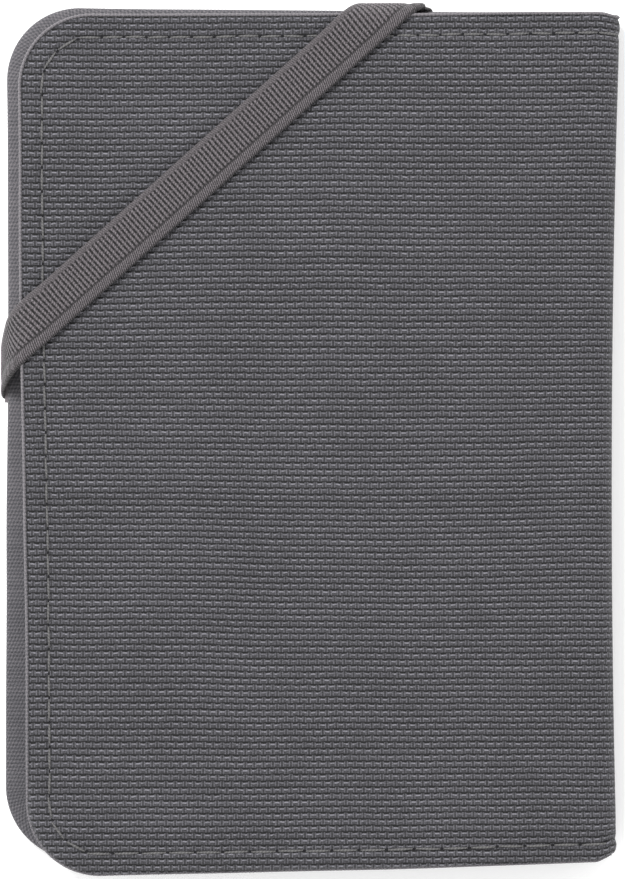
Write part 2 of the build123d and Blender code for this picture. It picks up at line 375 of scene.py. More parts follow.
def face_depth(cover, a, y):
    """The outer cloth's depth below the flat outer face: its rolled edge, groove and swell."""
    far = cover.edge_distance(a, y)
    roll = np.clip(1 - (far - SHELL_START) / ROLL_WIDTH, 0, 1)
    depth = ROLL_DEPTH * (1 - np.sqrt(1 - roll**2))
    puff = np.exp(-(((far - STITCH_INSET + PUFF_AT) / PUFF_WIDTH) ** 2))
    swell = smooth((far - STITCH_INSET) / SWELL_WIDTH)
    quiet = smooth((cover.fold_start - a) / 8)
    wavy = waves(a, y, 3 + cover.front, FACE_WAVE_LENGTH) * FACE_WAVE * quiet
    raised = PUFF_HEIGHT * (puff + swell) * (0.4 + 0.6 * quiet)
    depth = depth + FACE_SINK - raised + wavy * swell
    if cover.front:
        off = (a - cover.left - STRAP_SET_OUT) * STRAP_SLOPE - (y - STRAP_MIDDLE)
        beside = np.abs(off) / math.hypot(1, STRAP_SLOPE) - STRAP_HALF_WIDTH + DENT_EDGE
        depth = depth + STRAP_DENT * np.exp(-((np.maximum(beside, 0) / DENT_WIDTH) ** 2))
    else:
        depth = depth + BACK_SINK * quiet
    return depth + GROOVE_DEPTH * seam_relief(cover, a, y)


def cover_grid(cover, inset, fine, coarse, end):
    """Rows and columns of (a, y) that fill a cover's outline, set in from its free edges."""
    r = cover.radius - inset
    arc = np.linspace(0, math.pi / 2, int(r * 1.571 / fine) + 1)
    near = r * (1 - np.cos(arc))
    left, length = cover.left + inset, end - cover.left - inset
    height = cover.top(left) - cover.bottom(left) - 2 * inset
    middle = np.linspace(near[-1], height - near[-1], int((height - 2 * near[-1]) / coarse) + 1)
    rows = np.concatenate([near, middle[1:-1], height - near[::-1]]) / height
    columns = np.arange(0, FINE_BAND, fine)
    wide = np.linspace(FINE_BAND, length, int((length - FINE_BAND) / coarse) + 1)
    columns = np.concatenate([columns, wide])
    (cx, y_top), (_, y_bottom) = cover.centres()
    start = np.full(len(rows), left)
    for _ in range(4):
        span = cover.top(start) - cover.bottom(start) - 2 * inset
        y = cover.bottom(start) + inset + rows * span
        past = np.maximum(y - y_top, y_bottom - y).clip(0, r)
        start = cx - np.sqrt(r**2 - past**2)
    a = start[:, None] + (end - start[:, None]) * columns / columns[-1]
    low, high = cover.bottom(a) + inset, cover.top(a) - inset
    return a, low + rows[:, None] * (high - low)


def inside_grid(cover, end):
    return cover_grid(cover, LINING_INSET, *LINING_STEPS, end)


def weave_uv(a, y, seed):
    """Cloth coordinates whose yarns wander a little, as they do on a sewn panel."""
    return np.stack([a + 0.3 * waves(a, y, seed, 70), y + 0.3 * waves(a, y, seed + 1, 90)], -1)


def shell_half(cover, material):
    """The outer cloth, from the free edge to mid-spine."""
    a, y = cover_grid(cover, SHELL_START, *SHELL_STEPS, cover.end)
    depth = face_depth(cover, a, y)
    outer = cover.fold(a, y, depth)
    inner = cover.fold(a, y, depth + SHELL_THICKNESS)
    uv = weave_uv(a, y, 11)
    if cover.front:
        uv[..., 0] = 2 * cover.end - uv[..., 0]
    return thick_sheet(f"shell_{cover.name}", outer, inner, uv, material)


def tape_section(depth, lip):
    """Round the tape's section: (inset, depth) pairs for each place; lip is 0 where it hides."""
    total = depth + TAPE_THICKNESS
    outline = [
        (0.62, 0.62), (0.5, 0.3), (0.34, 0.14), (0.18, 0.24), (0.08, 0.55), (0.06, 1.1),
        (0.08, None), (0.12, -0.5), (0.3, -0.14), (0.8, 0.0), (2.2, 0.02), (4.2, 0.0),
        (TAPE_FLANGE - 0.2, -0.03), (TAPE_FLANGE, -0.2), (TAPE_FLANGE - 0.2, -0.36),
        (3.0, -0.38), (0.95, -0.42), (0.7, -0.75), (0.62, 1.3), (0.66, 0.9),
    ]
    section = np.empty((len(total), len(outline), 2))
    for k, (inset, down) in enumerate(outline):
        section[:, k, 0] = inset
        if down is None:
            section[:, k, 1] = (total + 0.3) / 2
        elif 0.05 < down < 1.4:
            section[:, k, 1] = down + (1.4 - down) * 0.7 * (1 - lip)
        else:
            section[:, k, 1] = total + min(down, 0)
    return section


def edge_tape(cover, material):
    """The ribbed tape round the cover's free edges and on over the spine's ends."""
    place, along, s = walk(cover.rim(), TAPE_RIB / 4)
    depth = cover.inner_depth(place[:, 0], cover.flange, cover.spine_lining)
    lip = smooth((place[:, 1] - LIP_HIDDEN_BELOW) / 8)
    section = tape_section(depth, lip)
    across = np.roll(section, -1, 1) - np.roll(section, 1, 1)
    outwards = np.stack([across[..., 1], -across[..., 0]], -1)
    outwards /= np.hypot(outwards[..., 0], outwards[..., 1])[..., None]
    rib = 0.5 + 0.5 * np.cos(TAU * s / TAPE_RIB)
    rib = TAPE_RIB_HEIGHT * (rib**0.6 - 0.5) * (1 + 0.25 * waves(s, s, 5, 9))
    section = section - outwards * rib[:, None, None]
    inset = section[..., 0] + 0.06 * waves(s, 0 * s, 6, 37)[:, None]
    inward = np.stack([-along[:, 1], along[:, 0]], -1)
    at = place[:, None] + inward[:, None] * inset[..., None]
    rings = cover.fold(at[..., 0], at[..., 1], section[..., 1])
    steps = np.hypot(*np.moveaxis(np.diff(section[0], axis=0, append=section[0][:1]), -1, 0))
    around = np.concatenate([[0], np.cumsum(steps[:-1])])
    uv = np.stack(np.broadcast_arrays(s[:, None], around[None]), -1)
    return make_mesh(*swept(f"edge_tape_{cover.name}", rings, uv, material))


def thread_rings(middle, along, up, length, seed):
    """One stitch: a thread that rises out of one needle hole and dips into the next."""
    rng = np.random.default_rng(seed)
    t = np.linspace(-0.5, 0.5, THREAD_RINGS)
    side = np.cross(up, along)
    lean = rng.uniform(-0.16, 0.16)
    lift = THREAD_RISE * (np.cos(math.pi * t).clip(0) ** 0.6 - 0.55) + rng.uniform(-0.03, 0.03)
    line = middle + np.outer(t * length, along) + np.outer(lift, up) + np.outer(lean * t, side)
    turn = np.linspace(0, TAU, THREAD_SIDES, endpoint=False)
    radius = THREAD_RADIUS * (0.75 + 0.25 * np.cos(math.pi * t))[:, None, None]
    twist = 1 + 0.12 * np.cos(2 * turn[None] + 9 * t[:, None])[..., None]
    ring = np.cos(turn)[:, None] * side + np.sin(turn)[:, None] * up * 0.85
    uv = np.stack(np.broadcast_arrays(t[:, None] * length + seed * 5, turn[None] * 0.2), -1)
    return line[:, None] + ring[None] * radius * twist, uv


def joined_threads(name, stitches, material):
    """Many stitches in one mesh."""
    points, faces, uvs, count = [], [], [], 0
    for rings, uv in stitches:
        _, p, f, u, _ = swept(name, rings, uv, material)
        faces += [[i + count for i in face] for face in f]
        points.append(p)
        uvs.append(u)
        count += len(p)
    return make_mesh(name, np.concatenate(points), faces, np.concatenate(uvs), material)


def seam_thread(cover, outside, material):
    """The lockstitch round the free edges, as it shows outside or inside the cover."""
    place, along, count = seam_line(cover)
    shift = 0 if outside else 0.5
    stitches = []
    for i in range(int(count[0]) + 1, int(count[-1])):
        k = int(np.searchsorted(count, i + shift))
        ends = np.searchsorted(count, (i + shift - 0.5, i + shift + 0.5))
        if ends[1] >= len(count):
            continue
        length = np.hypot(*(place[ends[1]] - place[ends[0]])) * STITCH_SHARE
        centre, forward, up = seam_frame(cover, place[k], along[k], outside)
        stitches.append(thread_rings(centre, forward, up, length, SEAM_SEED + i))
    side = "outer" if outside else "inner"
    return joined_threads(f"{cover.name}_{side}_stitches", stitches, material)


def seam_frame(cover, place, along, outside):
    """A point on the cloth at the stitch line, the way along it, and the way off the cloth."""
    a, y = place[:1], place[1:]
    if outside:
        depth = face_depth(cover, a, y) - 0.03
    else:
        depth = cover.inner_depth(a, cover.flange, cover.spine_lining) + TAPE_THICKNESS
    centre = cover.fold(a, y, depth)[0]
    ahead = cover.fold(a + along[0] * 0.2, y + along[1] * 0.2, depth)[0]
    forward = (ahead - centre) / np.linalg.norm(ahead - centre)
    up = (centre - cover.fold(a, y, depth + 0.1)[0]) * (1 if outside else -1)
    return centre, forward, up / np.linalg.norm(up)


def hole_shade_discs(cover, material):
    """Painted shade in the needle holes between the outer stitches: small dark discs on the cloth
    where the needle went through.
    """
    place, along, count = seam_line(cover)
    turn = np.linspace(0, TAU, HOLE_SIDES, endpoint=False)
    points, faces = [], []
    for i in range(int(count[0]) + 1, int(count[-1])):
        k = int(np.searchsorted(count, i + 0.5))
        centre, forward, up = seam_frame(cover, place[k], along[k], True)
        side = np.cross(up, forward)
        first = len(points)
        for size, lift in HOLE_RINGS:
            ring = np.cos(turn)[:, None] * forward * 1.15 + np.sin(turn)[:, None] * side
            points += (centre + up * lift + ring * HOLE_RADIUS * size).tolist()
        faces.append(list(range(first, first + HOLE_SIDES)))
        for r in (0, HOLE_SIDES):
            for j in range(HOLE_SIDES):
                here, there = first + r + j, first + r + (j + 1) % HOLE_SIDES
                faces.append([here, here + HOLE_SIDES, there + HOLE_SIDES, there])
    points = np.array(points)
    return make_mesh(f"{cover.name}_needle_holes", points, faces, points[:, :2], material)


def lining_half(cover, material):
    """The lining, from the free edge to mid-spine."""
    a, y = inside_grid(cover, cover.end + 0.2)
    wavy = 0.08 * waves(a, y, 21 + cover.front, 24) * smooth((cover.right - a) / 6)
    inner = cover.inner_depth(a, cover.lining - 0.06, cover.spine_lining) - np.abs(wavy)
    if cover.front:
        inner = inner + LINING_LAP * smooth((a - cover.end + 1.5) / 1.2)
    outer = inner - LINING_THICKNESS
    uv = np.stack([a, y], -1)
    near, far = cover.fold(a, y, inner), cover.fold(a, y, outer)
    return thick_sheet(f"lining_{cover.name}", far, near, uv, material)


def spine_foil(material):
    """The shield foil that links the covers, bowed with the spine."""
    low, high = mm_box("spine_foil")
    depth = back.spine_x - high[0] + 0.1
    rise = np.linspace(FOLD_RADIUS + 0.1, back.height - FOLD_RADIUS - 0.1, 12)
    y = np.linspace(low[1] + FOIL_SHORT, high[1] - FOIL_SHORT, 80)
    rise, y = np.meshgrid(rise, y)
    a = back.fold_end + rise - FOLD_RADIUS
    uv = np.stack([a, y], -1)
    outer, inner = back.fold(a, y, depth), back.fold(a, y, depth + FOIL_THICKNESS)
    return thick_sheet("foil_spine", outer, inner, uv, material)


# Pockets --------------------------------------------------------------------------------


def pocket_sheet(name, cover, a, y, depth, thickness, material, seed, mouth=None):
    """A pocket's cloth with a rounded rim; mouth is how far each point is from its open edge."""
    rows, columns = a.shape
    index_r, index_c = np.mgrid[0:rows, 0:columns]
    from_ends = np.minimum(index_r, rows - 1 - index_r)
    rim = np.minimum(from_ends, np.minimum(index_c, columns - 1 - index_c))
    half = thickness / 2 * np.where(rim == 0, 0.35, 1.0)
    wavy = 0.07 * waves(a, y, seed, 22)
    if mouth is not None:
        wavy = wavy + 0.16 * np.exp(-mouth / 7) * (1 + 0.5 * waves(a, y, seed + 3, 30))
    middle = depth + thickness / 2 + wavy
    uv = np.stack([a, y], -1)
    near, far = cover.fold(a, y, middle + half), cover.fold(a, y, middle - half)
    return thick_sheet(name, far, near, uv, material)


def ribbed_strip(name, cover, start, stop, width_to, depth, thickness, material):
    """A straight tape from start to stop, ribbed across; width_to is its width vector."""
    start, stop, width_to = (np.array(v, float) for v in (start, stop, width_to))
    length = np.hypot(*(stop - start))
    s = np.linspace(0, length, int(length / TAPE_RIB * 4) + 1)
    width = np.hypot(*width_to)
    w = np.array([0, 0.04, 0.15, 0.5, 0.85, 0.96, 1, 0.96, 0.5, 0.04]) * width
    level = np.array([0.5, 0.85, 1, 1.04, 1, 0.85, 0.5, 0.1, 0, 0.1]) * thickness
    rib = MOUTH_RIB_HEIGHT * (0.5 + 0.5 * np.cos(TAU * s / TAPE_RIB)) ** 0.6
    at = start + (stop - start) * (s / length)[:, None]
    at = at[:, None] + width_to / width * w[None, :, None]
    wavy = 0.1 * waves(at[..., 0], at[..., 1], 31, 26)
    down = depth + level[None] + rib[:, None] * (level > 0.4 * thickness)[None] + wavy
    rings = cover.fold(at[..., 0], at[..., 1], down)
    uv = np.stack(np.broadcast_arrays(s[:, None], w[None]), -1)
    return make_mesh(*swept(name, rings, uv, material))


def passport_sleeve(cover, cloth, tape):
    """The sleeve that takes the passport's back cover, and the tape on its mouth."""
    low, high = mm_box("passport_sleeve")
    a, y = inside_grid(cover, high[0])
    depth, thickness = low[2], high[2] - low[2]
    sleeve = pocket_sheet("sleeve", cover, a, y, depth, thickness, cloth, 41, high[0] - a)
    tape_low, tape_high = mm_box("sleeve_mouth_tape")
    start, stop = (high[0] + 0.3, tape_low[1] + 0.1), (high[0] + 0.3, tape_high[1] - 0.1)
    width = (-(tape_high[0] - tape_low[0]), 0)
    mouth = ribbed_strip("sleeve_tape", cover, start, stop, width, high[2] - 0.05, 0.3, tape)
    return sleeve, mouth


def ticket_pocket(cover, cloth):
    """The pocket behind the card slots, open towards the spine."""
    low, high = mm_box("ticket_pocket")
    a, y = inside_grid(cover, high[0] - 0.4)
    depth = cover.height - high[2]
    return pocket_sheet("ticket_sheet", cover, a, y, depth, high[2] - low[2], cloth, 47)


def card_slots(cover, cloth, tape):
    """The three stepped card slots and the tapes on their mouths."""
    made = []
    for slot in (1, 2, 3):
        low, high = mm_box(f"card_slot_{slot}")
        counts = ((high - low) / POCKET_STEP).astype(int)
        x, y = np.meshgrid(*(np.linspace(low[k], high[k], counts[k]) for k in (0, 1)))
        depth, thickness = cover.height - high[2], high[2] - low[2]
        name = f"card_pocket_{slot}"
        panel = pocket_sheet(name, cover, x, y, depth - 0.03, thickness, cloth, 50 + slot)
        tape_low, tape_high = mm_box(f"card_mouth_tape_{slot}")
        start, stop = (low[0], high[1] + 0.25), (high[0], high[1] + 0.25)
        width = (0, -(tape_high[1] - tape_low[1]))
        mouth_depth = cover.height - tape_high[2] - 0.02
        name = f"card_tape_{slot}"
        mouth = ribbed_strip(name, cover, start, stop, width, mouth_depth, 0.26, tape)
        made.append((panel, mouth, f"card_slot_{slot}", f"card_mouth_tape_{slot}"))
    return made


def card_thread(cover, material):
    """The stitches down both sides of the card slots, just inside their CAD stitches."""
    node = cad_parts["card_slot_thread"].data
    points = np.array([v.co for v in node.vertices]) / MM
    columns = np.round(points[:, 0], 1)
    stitches = []
    for x in np.unique(columns):
        if columns.min() + 0.4 < x < columns.max() - 0.4:
            continue
        column = points[np.abs(points[:, 0] - x) < 0.06]
        ends = np.unique(np.round(column[:, 1], 2))
        for start, stop in zip(ends[::2], ends[1::2]):
            near = column[np.abs(column[:, 1] - start) < 0.05]
            depth = cover.height - near[:, 2].min() - 0.05
            inward = -math.copysign(CARD_SEAM_SHIFT, near[:, 0].mean())
            centre = cover.fold(near[:, 0].mean() + inward, (start + stop) / 2, depth)
            if all(np.hypot(*(centre - c)[:2]) > 1.0 for c, _ in stitches):
                stitches.append((centre, stop - start))
    along, up = np.array([0, 1, 0]), np.array([0, 0, -1])
    rings = [
        thread_rings(centre, along, up, length, CARD_SEAM_SEED + k)
        for k, (centre, length) in enumerate(stitches)
    ]
    return joined_threads("card_stitches", rings, material)


# Strap ----------------------------------------------------------------------------------


def rounded(control):
    """A smooth curve near a few control points, by cutting the corners again and again."""
    line = np.array(control, float)
    for _ in range(4):
        cut = np.empty((2 * len(line) - 2, 2))
        cut[0::2] = line[:-1] * 0.75 + line[1:] * 0.25
        cut[1::2] = line[:-1] * 0.25 + line[1:] * 0.75
        line = np.concatenate([line[:1], cut, line[-1:]])
    return line


class SideRun:
    """How the strap goes over one edge of the wallet and down to its seam.

    Lengths run outwards from the fold: past is the distance beyond it on the flat strap.
    """

    def __init__(self, top_z, out, seam_z, edge_z):
        control = [(-STRAP_FLAT, top_z), (0.75, top_z), (out - 0.05, edge_z + 0.6)]
        control += [(out, edge_z - 1.6), (out - 0.7, seam_z - 0.2)]
        self.line = rounded(control)
        run = np.hypot(*np.diff(self.line, axis=0).T)
        self.run = np.concatenate([[0], np.cumsum(run)]) - STRAP_FLAT
        turn = np.gradient(self.line, self.run, axis=0)
        self.turn = turn / np.hypot(*turn.T)[:, None]
        self.length = self.run[-1]

    def at(self, past, lift):
        """Outward distance and height of points past the fold, lifted off the wallet."""
        out, z = (np.interp(past, self.run, self.line[:, k]) for k in range(2))
        along, down = (np.interp(past, self.run, self.turn[:, k]) for k in range(2))
        return out - down * lift, z + along * lift


def strap_surface(t, w):
    """Height of the strap's upper face above its middle: selvedge, ribs, channel and beads."""
    phase = TAU * (t + 0.1 * waves(t, w, 61, 20)) / STRAP_RIB
    half = STRAP_THICKNESS / 2
    ply = np.cos(TAU * w / 0.62 + math.pi * np.round(phase / 2 / math.pi))
    ribs = (0.5 + 0.5 * np.cos(phase)) ** 0.7 * (0.84 + 0.16 * ply)
    beads = (0.5 + 0.5 * np.cos(phase * 1.6 + 5 * w)) ** 0.6
    on_ribs = smooth((w + 3.0) / 0.35) * smooth((1.95 - w) / 0.4)
    on_beads = smooth((w - 2.3) / 0.5)
    selvedge = smooth((-2.9 - w) / 0.25)
    shape = 0.78 + on_ribs * (0.34 * ribs - 0.02) + on_beads * (0.3 * beads + 0.02)
    shape = shape + 0.26 * selvedge
    edge = np.clip((np.abs(w) - (STRAP_HALF_WIDTH - 0.4)) / 0.4, 0, 1)
    return half * shape * np.sqrt(np.clip(1 - 0.93 * edge**2, 0.05, 1))


def strap(material):
    """The ribbed elastic, which folds over the wallet's left and top edges to its seams."""
    front_low, front_high = mm_box("front_edge_tape")
    back_low, back_high = mm_box("back_edge_tape")
    left_low, left_high = mm_box("strap_end_left")
    top_low, top_high = mm_box("strap_end_top")
    lie = front_high[2] + STRAP_LIFT
    seam_z = (left_low[2] + left_high[2]) / 2
    edge_z = back_high[2]
    left = SideRun(lie, front_low[0] - back_low[0], seam_z, edge_z)
    top = SideRun(lie, back_high[1] - front_high[1] - 0.3, seam_z, edge_z)
    centre, slope = np.array([front_low[0] - STRAP_SET_OUT, STRAP_MIDDLE]), STRAP_SLOPE
    axis = np.array([1, slope]) / math.hypot(1, slope)
    across = np.array([axis[1], -axis[0]])

    half = STRAP_HALF_WIDTH
    rim = np.array([0.96, 0.985, 1])
    w = np.concatenate([-rim[::-1], np.linspace(-0.93, 0.93, 31), rim]) * half
    first = -(left.length + half) / axis[0]
    last = (front_high[1] + top.length - centre[1] + half) / axis[1]
    t = np.arange(first, last, STRAP_RIB / 6)
    t, w = np.meshgrid(t, w, indexing="ij")
    start = (front_low[0] - left.length - centre[0] - w * across[0]) / axis[0]
    stop = (front_high[1] + top.length - centre[1] - w * across[1]) / axis[1]
    t = np.clip(t, start, stop)
    x, y = (centre[k] + axis[k] * t + across[k] * w for k in range(2))
    past_left, past_top = front_low[0] - x, y - front_high[1]
    face = strap_surface(t, w)
    thickness = STRAP_THICKNESS / 2
    inside = np.clip(np.minimum(-past_left, -past_top), 0, None)
    over_edge = EDGE_HUMP * np.exp(-(inside / HUMP_WIDTH) ** 2)
    sides = []
    down_left = smooth(past_left / left.length) * (past_left > 0)
    down_top = smooth(past_top / top.length) * (past_top > 0)
    pressed = 1 - STRAP_PRESSED * np.maximum(down_left, down_top)
    for side in (1, -1):
        rise = face if side == 1 else -np.minimum(face, thickness * 0.8)
        lift = (thickness + rise) * pressed
        out, z_left = left.at(past_left, lift)
        up, z_top = top.at(past_top, lift)
        middle_left = centre[1] - slope * past_left
        seam_y = (left_low[1] + left_high[1]) / 2 - (centre[1] - slope * left.length)
        y_left = y + down_left * (seam_y - 0.25 * (y - middle_left))
        middle_top = centre[0] + (y - centre[1]) / slope
        seam_x = (top_low[0] + top_high[0]) / 2
        seam_x = seam_x - (centre[0] + (front_high[1] + top.length - centre[1]) / slope)
        x_top = x + down_top * (seam_x - 0.3 * (x - middle_top))
        on_left, on_top = past_left > STRAP_BEND_FROM, past_top > STRAP_BEND_FROM
        at_x = np.where(on_left, front_low[0] - out, np.where(on_top, x_top, x))
        at_y = np.where(on_top, front_high[1] + up, np.where(on_left, y_left, y))
        at_z = np.where(on_left, z_left, np.where(on_top, z_top, lie + lift)) + over_edge
        sides.append(np.stack([at_x, at_y, at_z], -1))
    uv = np.stack([t, w], -1)
    made = thick_sheet("strap_elastic", sides[0], sides[1], uv, material)
    mesh = bmesh.new()
    mesh.from_mesh(made.data)
    bmesh.ops.remove_doubles(mesh, verts=mesh.verts, dist=1e-6)
    mesh.to_mesh(made.data)
    mesh.free()
    return made


# Materials ------------------------------------------------------------------------------


def set_inputs(node, **values):
    """Put plain values into a node's inputs, with _ for each space in a name."""
    for name, value in values.items():
        node.inputs[name.replace("_", " ")].default_value = value


def feed(tree, sockets, values):
    """Put fields and plain numbers into a node's inputs."""
    for place, value in zip(sockets, values):
        if isinstance(value, Field):
            tree.links.new(value.socket, place)
        else:
            place.default_value = value


class Field:
    """A number that varies over a surface: a shader socket that can be used in sums."""

    def __init__(self, tree, socket):
        self.tree, self.socket = tree, socket

    def math(self, operation, *others):
        node = self.tree.nodes.new("ShaderNodeMath")
        node.operation = operation
        feed(self.tree, node.inputs, (self, *others))
        return Field(self.tree, node.outputs[0])

    def __add__(self, other):
        return self.math("ADD", other)

    def __sub__(self, other):
        return self.math("SUBTRACT", other)

    def __mul__(self, other):
        return self.math("MULTIPLY", other)

    def size(self):
        return self.math("ABSOLUTE")

    def floor(self):
        return self.math("FLOOR")

    def sine(self):
        return self.math("SINE")

    def cosine(self):
        return self.math("COSINE")

    def ripple(self):
        """The cosine, from 0 to 1."""
        return self.cosine() * 0.5 + 0.5

    def over(self, other):
        """The larger of the two."""
        return self.math("MAXIMUM", other)

    def rest(self):
        """What is left of 1."""
        return self * -1.0 + 1.0

    def step(self, start, stop):
        """0 before start, 1 after stop, smooth between."""
        node = self.tree.nodes.new("ShaderNodeMapRange")
        node.interpolation_type = "SMOOTHSTEP"
        self.tree.links.new(self.socket, node.inputs["Value"])
        set_inputs(node, From_Min=start, From_Max=stop)
        return Field(self.tree, node.outputs[0])


class Surface:
    """A procedural material over the cloth coordinates, which are in mm."""

    def __init__(self, name, roughness, sheen=0.0, metallic=0.0, specular=0.3):
        self.material = bpy.data.materials.new(name)
        self.material.use_nodes = True
        self.tree = self.material.node_tree
        self.shader = self.tree.nodes["Principled BSDF"]
        set_inputs(self.shader, Roughness=roughness, Metallic=metallic)
        set_inputs(self.shader, Specular_IOR_Level=specular, Sheen_Weight=sheen)
        set_inputs(self.shader, Sheen_Roughness=0.5)
        self.use_place(self.node("ShaderNodeUVMap", uv_map=UV_NAME).outputs[0])

    def node(self, kind, **settings):
        made = self.tree.nodes.new(kind)
        for key, value in settings.items():
            setattr(made, key, value)
        return made

    def link(self, source, target):
        self.tree.links.new(source, target)

    def use_place(self, socket):
        self.place = socket
        split = self.node("ShaderNodeSeparateXYZ")
        self.link(socket, split.inputs[0])
        self.u, self.v = (Field(self.tree, split.outputs[k]) for k in range(2))

    def solid_place(self):
        """Use the object's own coordinates, in mm, on a CAD piece, which has no UV map."""
        scale = self.node("ShaderNodeVectorMath", operation="SCALE")
        set_inputs(scale, Scale=1 / MM)
        self.link(self.node("ShaderNodeTexCoord").outputs["Object"], scale.inputs[0])
        self.use_place(scale.outputs[0])
        return self

    def noise(self, size, detail=2.0, stretch=(1.0, 1.0), roughness=0.5):
        """Uneven mottling from 0 to 1 with features of about that size in mm."""
        scale = self.node("ShaderNodeVectorMath", operation="MULTIPLY")
        scale.inputs[1].default_value = (stretch[0] / size, stretch[1] / size, 1 / size)
        self.link(self.place, scale.inputs[0])
        made = self.node("ShaderNodeTexNoise")
        set_inputs(made, Scale=1.0, Detail=detail, Roughness=roughness)
        self.link(scale.outputs[0], made.inputs["Vector"])
        return Field(self.tree, made.outputs[0])

    def random(self, x, y):
        """A random number from 0 to 1 for each whole x and y."""
        joined = self.node("ShaderNodeCombineXYZ")
        feed(self.tree, joined.inputs, (x, y))
        made = self.node("ShaderNodeTexWhiteNoise", noise_dimensions="3D")
        self.link(joined.outputs[0], made.inputs["Vector"])
        return Field(self.tree, made.outputs["Value"])

    def colour(self, value, stops):
        """Colours the surface by value, through (position, colour) stops."""
        ramp = self.node("ShaderNodeValToRGB")
        elements = ramp.color_ramp.elements
        while len(elements) < len(stops):
            elements.new(0.5)
        for element, (position, colour) in zip(elements, stops):
            element.position = position
            element.color = (*[srgb(c) for c in colour], 1)
        self.link(value.socket, ramp.inputs[0])
        self.link(ramp.outputs[0], self.shader.inputs["Base Color"])
        return self

    def bump(self, height, distance, strength=1.0):
        """Relief from height, 0 to 1, over that distance in mm."""
        made = self.node("ShaderNodeBump")
        set_inputs(made, Strength=strength, Distance=distance * MM)
        self.link(height.socket, made.inputs["Height"])
        self.link(made.outputs[0], self.shader.inputs["Normal"])
        return self


def srgb(level):
    """A screen level from 0 to 255 as the linear value that a shader takes."""
    share = level / 255
    return share / 12.92 if share <= 0.04045 else ((share + 0.055) / 1.055) ** 2.4


def grey(level, tint=(0.985, 0.975, 1.03)):
    return tuple(level * t for t in tint)


def woven(name, warp_pitch, weft_pitch, levels, relief):
    """Plain weave: wide weft blocks in staggered rows, with thin warp bars between them, coloured
    with painted highlights on the raised yarns and painted shade between the rows.
    """
    cloth = Surface(name, 0.85, sheen=0.1)
    u = (cloth.u + (cloth.noise(11, 2) - 0.5) * 0.45) * (1 / warp_pitch)
    v = (cloth.v + (cloth.noise(14, 2, (1.0, 0.4)) - 0.5) * 0.4) * (1 / weft_pitch)
    v = v + (cloth.noise(0.9, 1, (1.0, 0.3)) - 0.5) * 0.22
    row = v.floor()
    pair = (u + row) * 0.5
    block = pair.floor()
    along = pair - block - 0.5
    from_warp = along.size() * (2 * warp_pitch)
    each = cloth.random(block, row)
    up = (v - row - 0.5) * weft_pitch + (each - 0.5) * 0.08
    from_middle = up.size()
    # Painted highlight: the tone follows the yarns' height, and the weft crown sits a little
    # above each row's middle, where the light falls.
    crown = (up - 0.1).size().step(0.22, 0.07) * from_warp.step(0.24, 0.46)
    body = from_middle.step(0.52, 0.36) * from_warp.step(0.18, 0.34)
    bars = (from_warp - 0.25).size().step(0.17, 0.05) * from_middle.step(0.53, 0.36)
    under = from_warp.step(0.2, 0.06) * from_middle.step(0.52, 0.3) * 0.22
    # Painted shade: dark lines along the top and the bottom of each row of weft, between the
    # rows.
    shade = (up - 0.46).size().step(0.2, 0.05) * from_warp.step(0.16, 0.4)
    lower_shade = (up + 0.56).size().step(0.14, 0.02) * 0.5 * from_warp.step(0.3, 0.5)
    shade = shade.over(lower_shade)
    height = (crown * (each * 0.55 + 0.62)).over(bars * 0.66)
    height = height.over(body * 0.26).over(under)
    fibre = cloth.noise(0.22, 3, (0.55, 1.4), 0.7)
    tone = height * 0.7 - shade * 0.52 + (fibre - 0.5) * 1.0 + (cloth.noise(16, 3) - 0.5) * 0.1
    tone = tone + (cloth.random(row, 7.3) - 0.5) * 0.05 + 0.235
    stops = [(0.0, grey(levels[0])), (0.3, grey(levels[1])), (0.62, grey(levels[2]))]
    cloth.colour(tone, stops + [(1.0, grey(levels[3]))])
    cloth.bump(height - shade * 0.5 + (fibre - 0.5) * 0.3, relief)
    return cloth.material


def ribbed(name, pitch, levels, relief=0.06):
    """Grosgrain tape: fine low ribs across it, each a little different."""
    tape = Surface(name, 0.75, sheen=0.15)
    along = tape.u * (1 / pitch)
    rib = (along * TAU).ripple()
    cords = (tape.v * (TAU / 0.56) + along * math.pi).ripple()
    each = tape.random((along + 0.5).floor(), 1.7)
    fibre = tape.noise(0.24, 3, (1.4, 0.8), 0.7)
    tone = rib * 0.34 + cords * 0.32 + each * 0.1 + (fibre - 0.5) * 1.7 + 0.11
    tone = tone + (tape.noise(8, 2) - 0.5) * 0.2
    # Painted highlight: the tape's rounded ridge is lighter, and the whole tape is lighter along
    # the top and upper left edges, facing the key light.
    ridge_highlight = tape.v.step(2.0, 1.2) * tape.v.step(0.2, 0.5) * 0.28 + tape.u.step(210, 150) * 0.17
    high = tuple(levels[2] * t for t in (1.0, 0.965, 0.995))
    stops = [(0.1, grey(levels[0])), (0.5, grey(levels[1])), (1.0, high)]
    tone = tone + ridge_highlight
    tape.colour(tone, stops)
    tape.bump(rib + cords * 0.4 + fibre * 0.5, relief)
    return tape.material


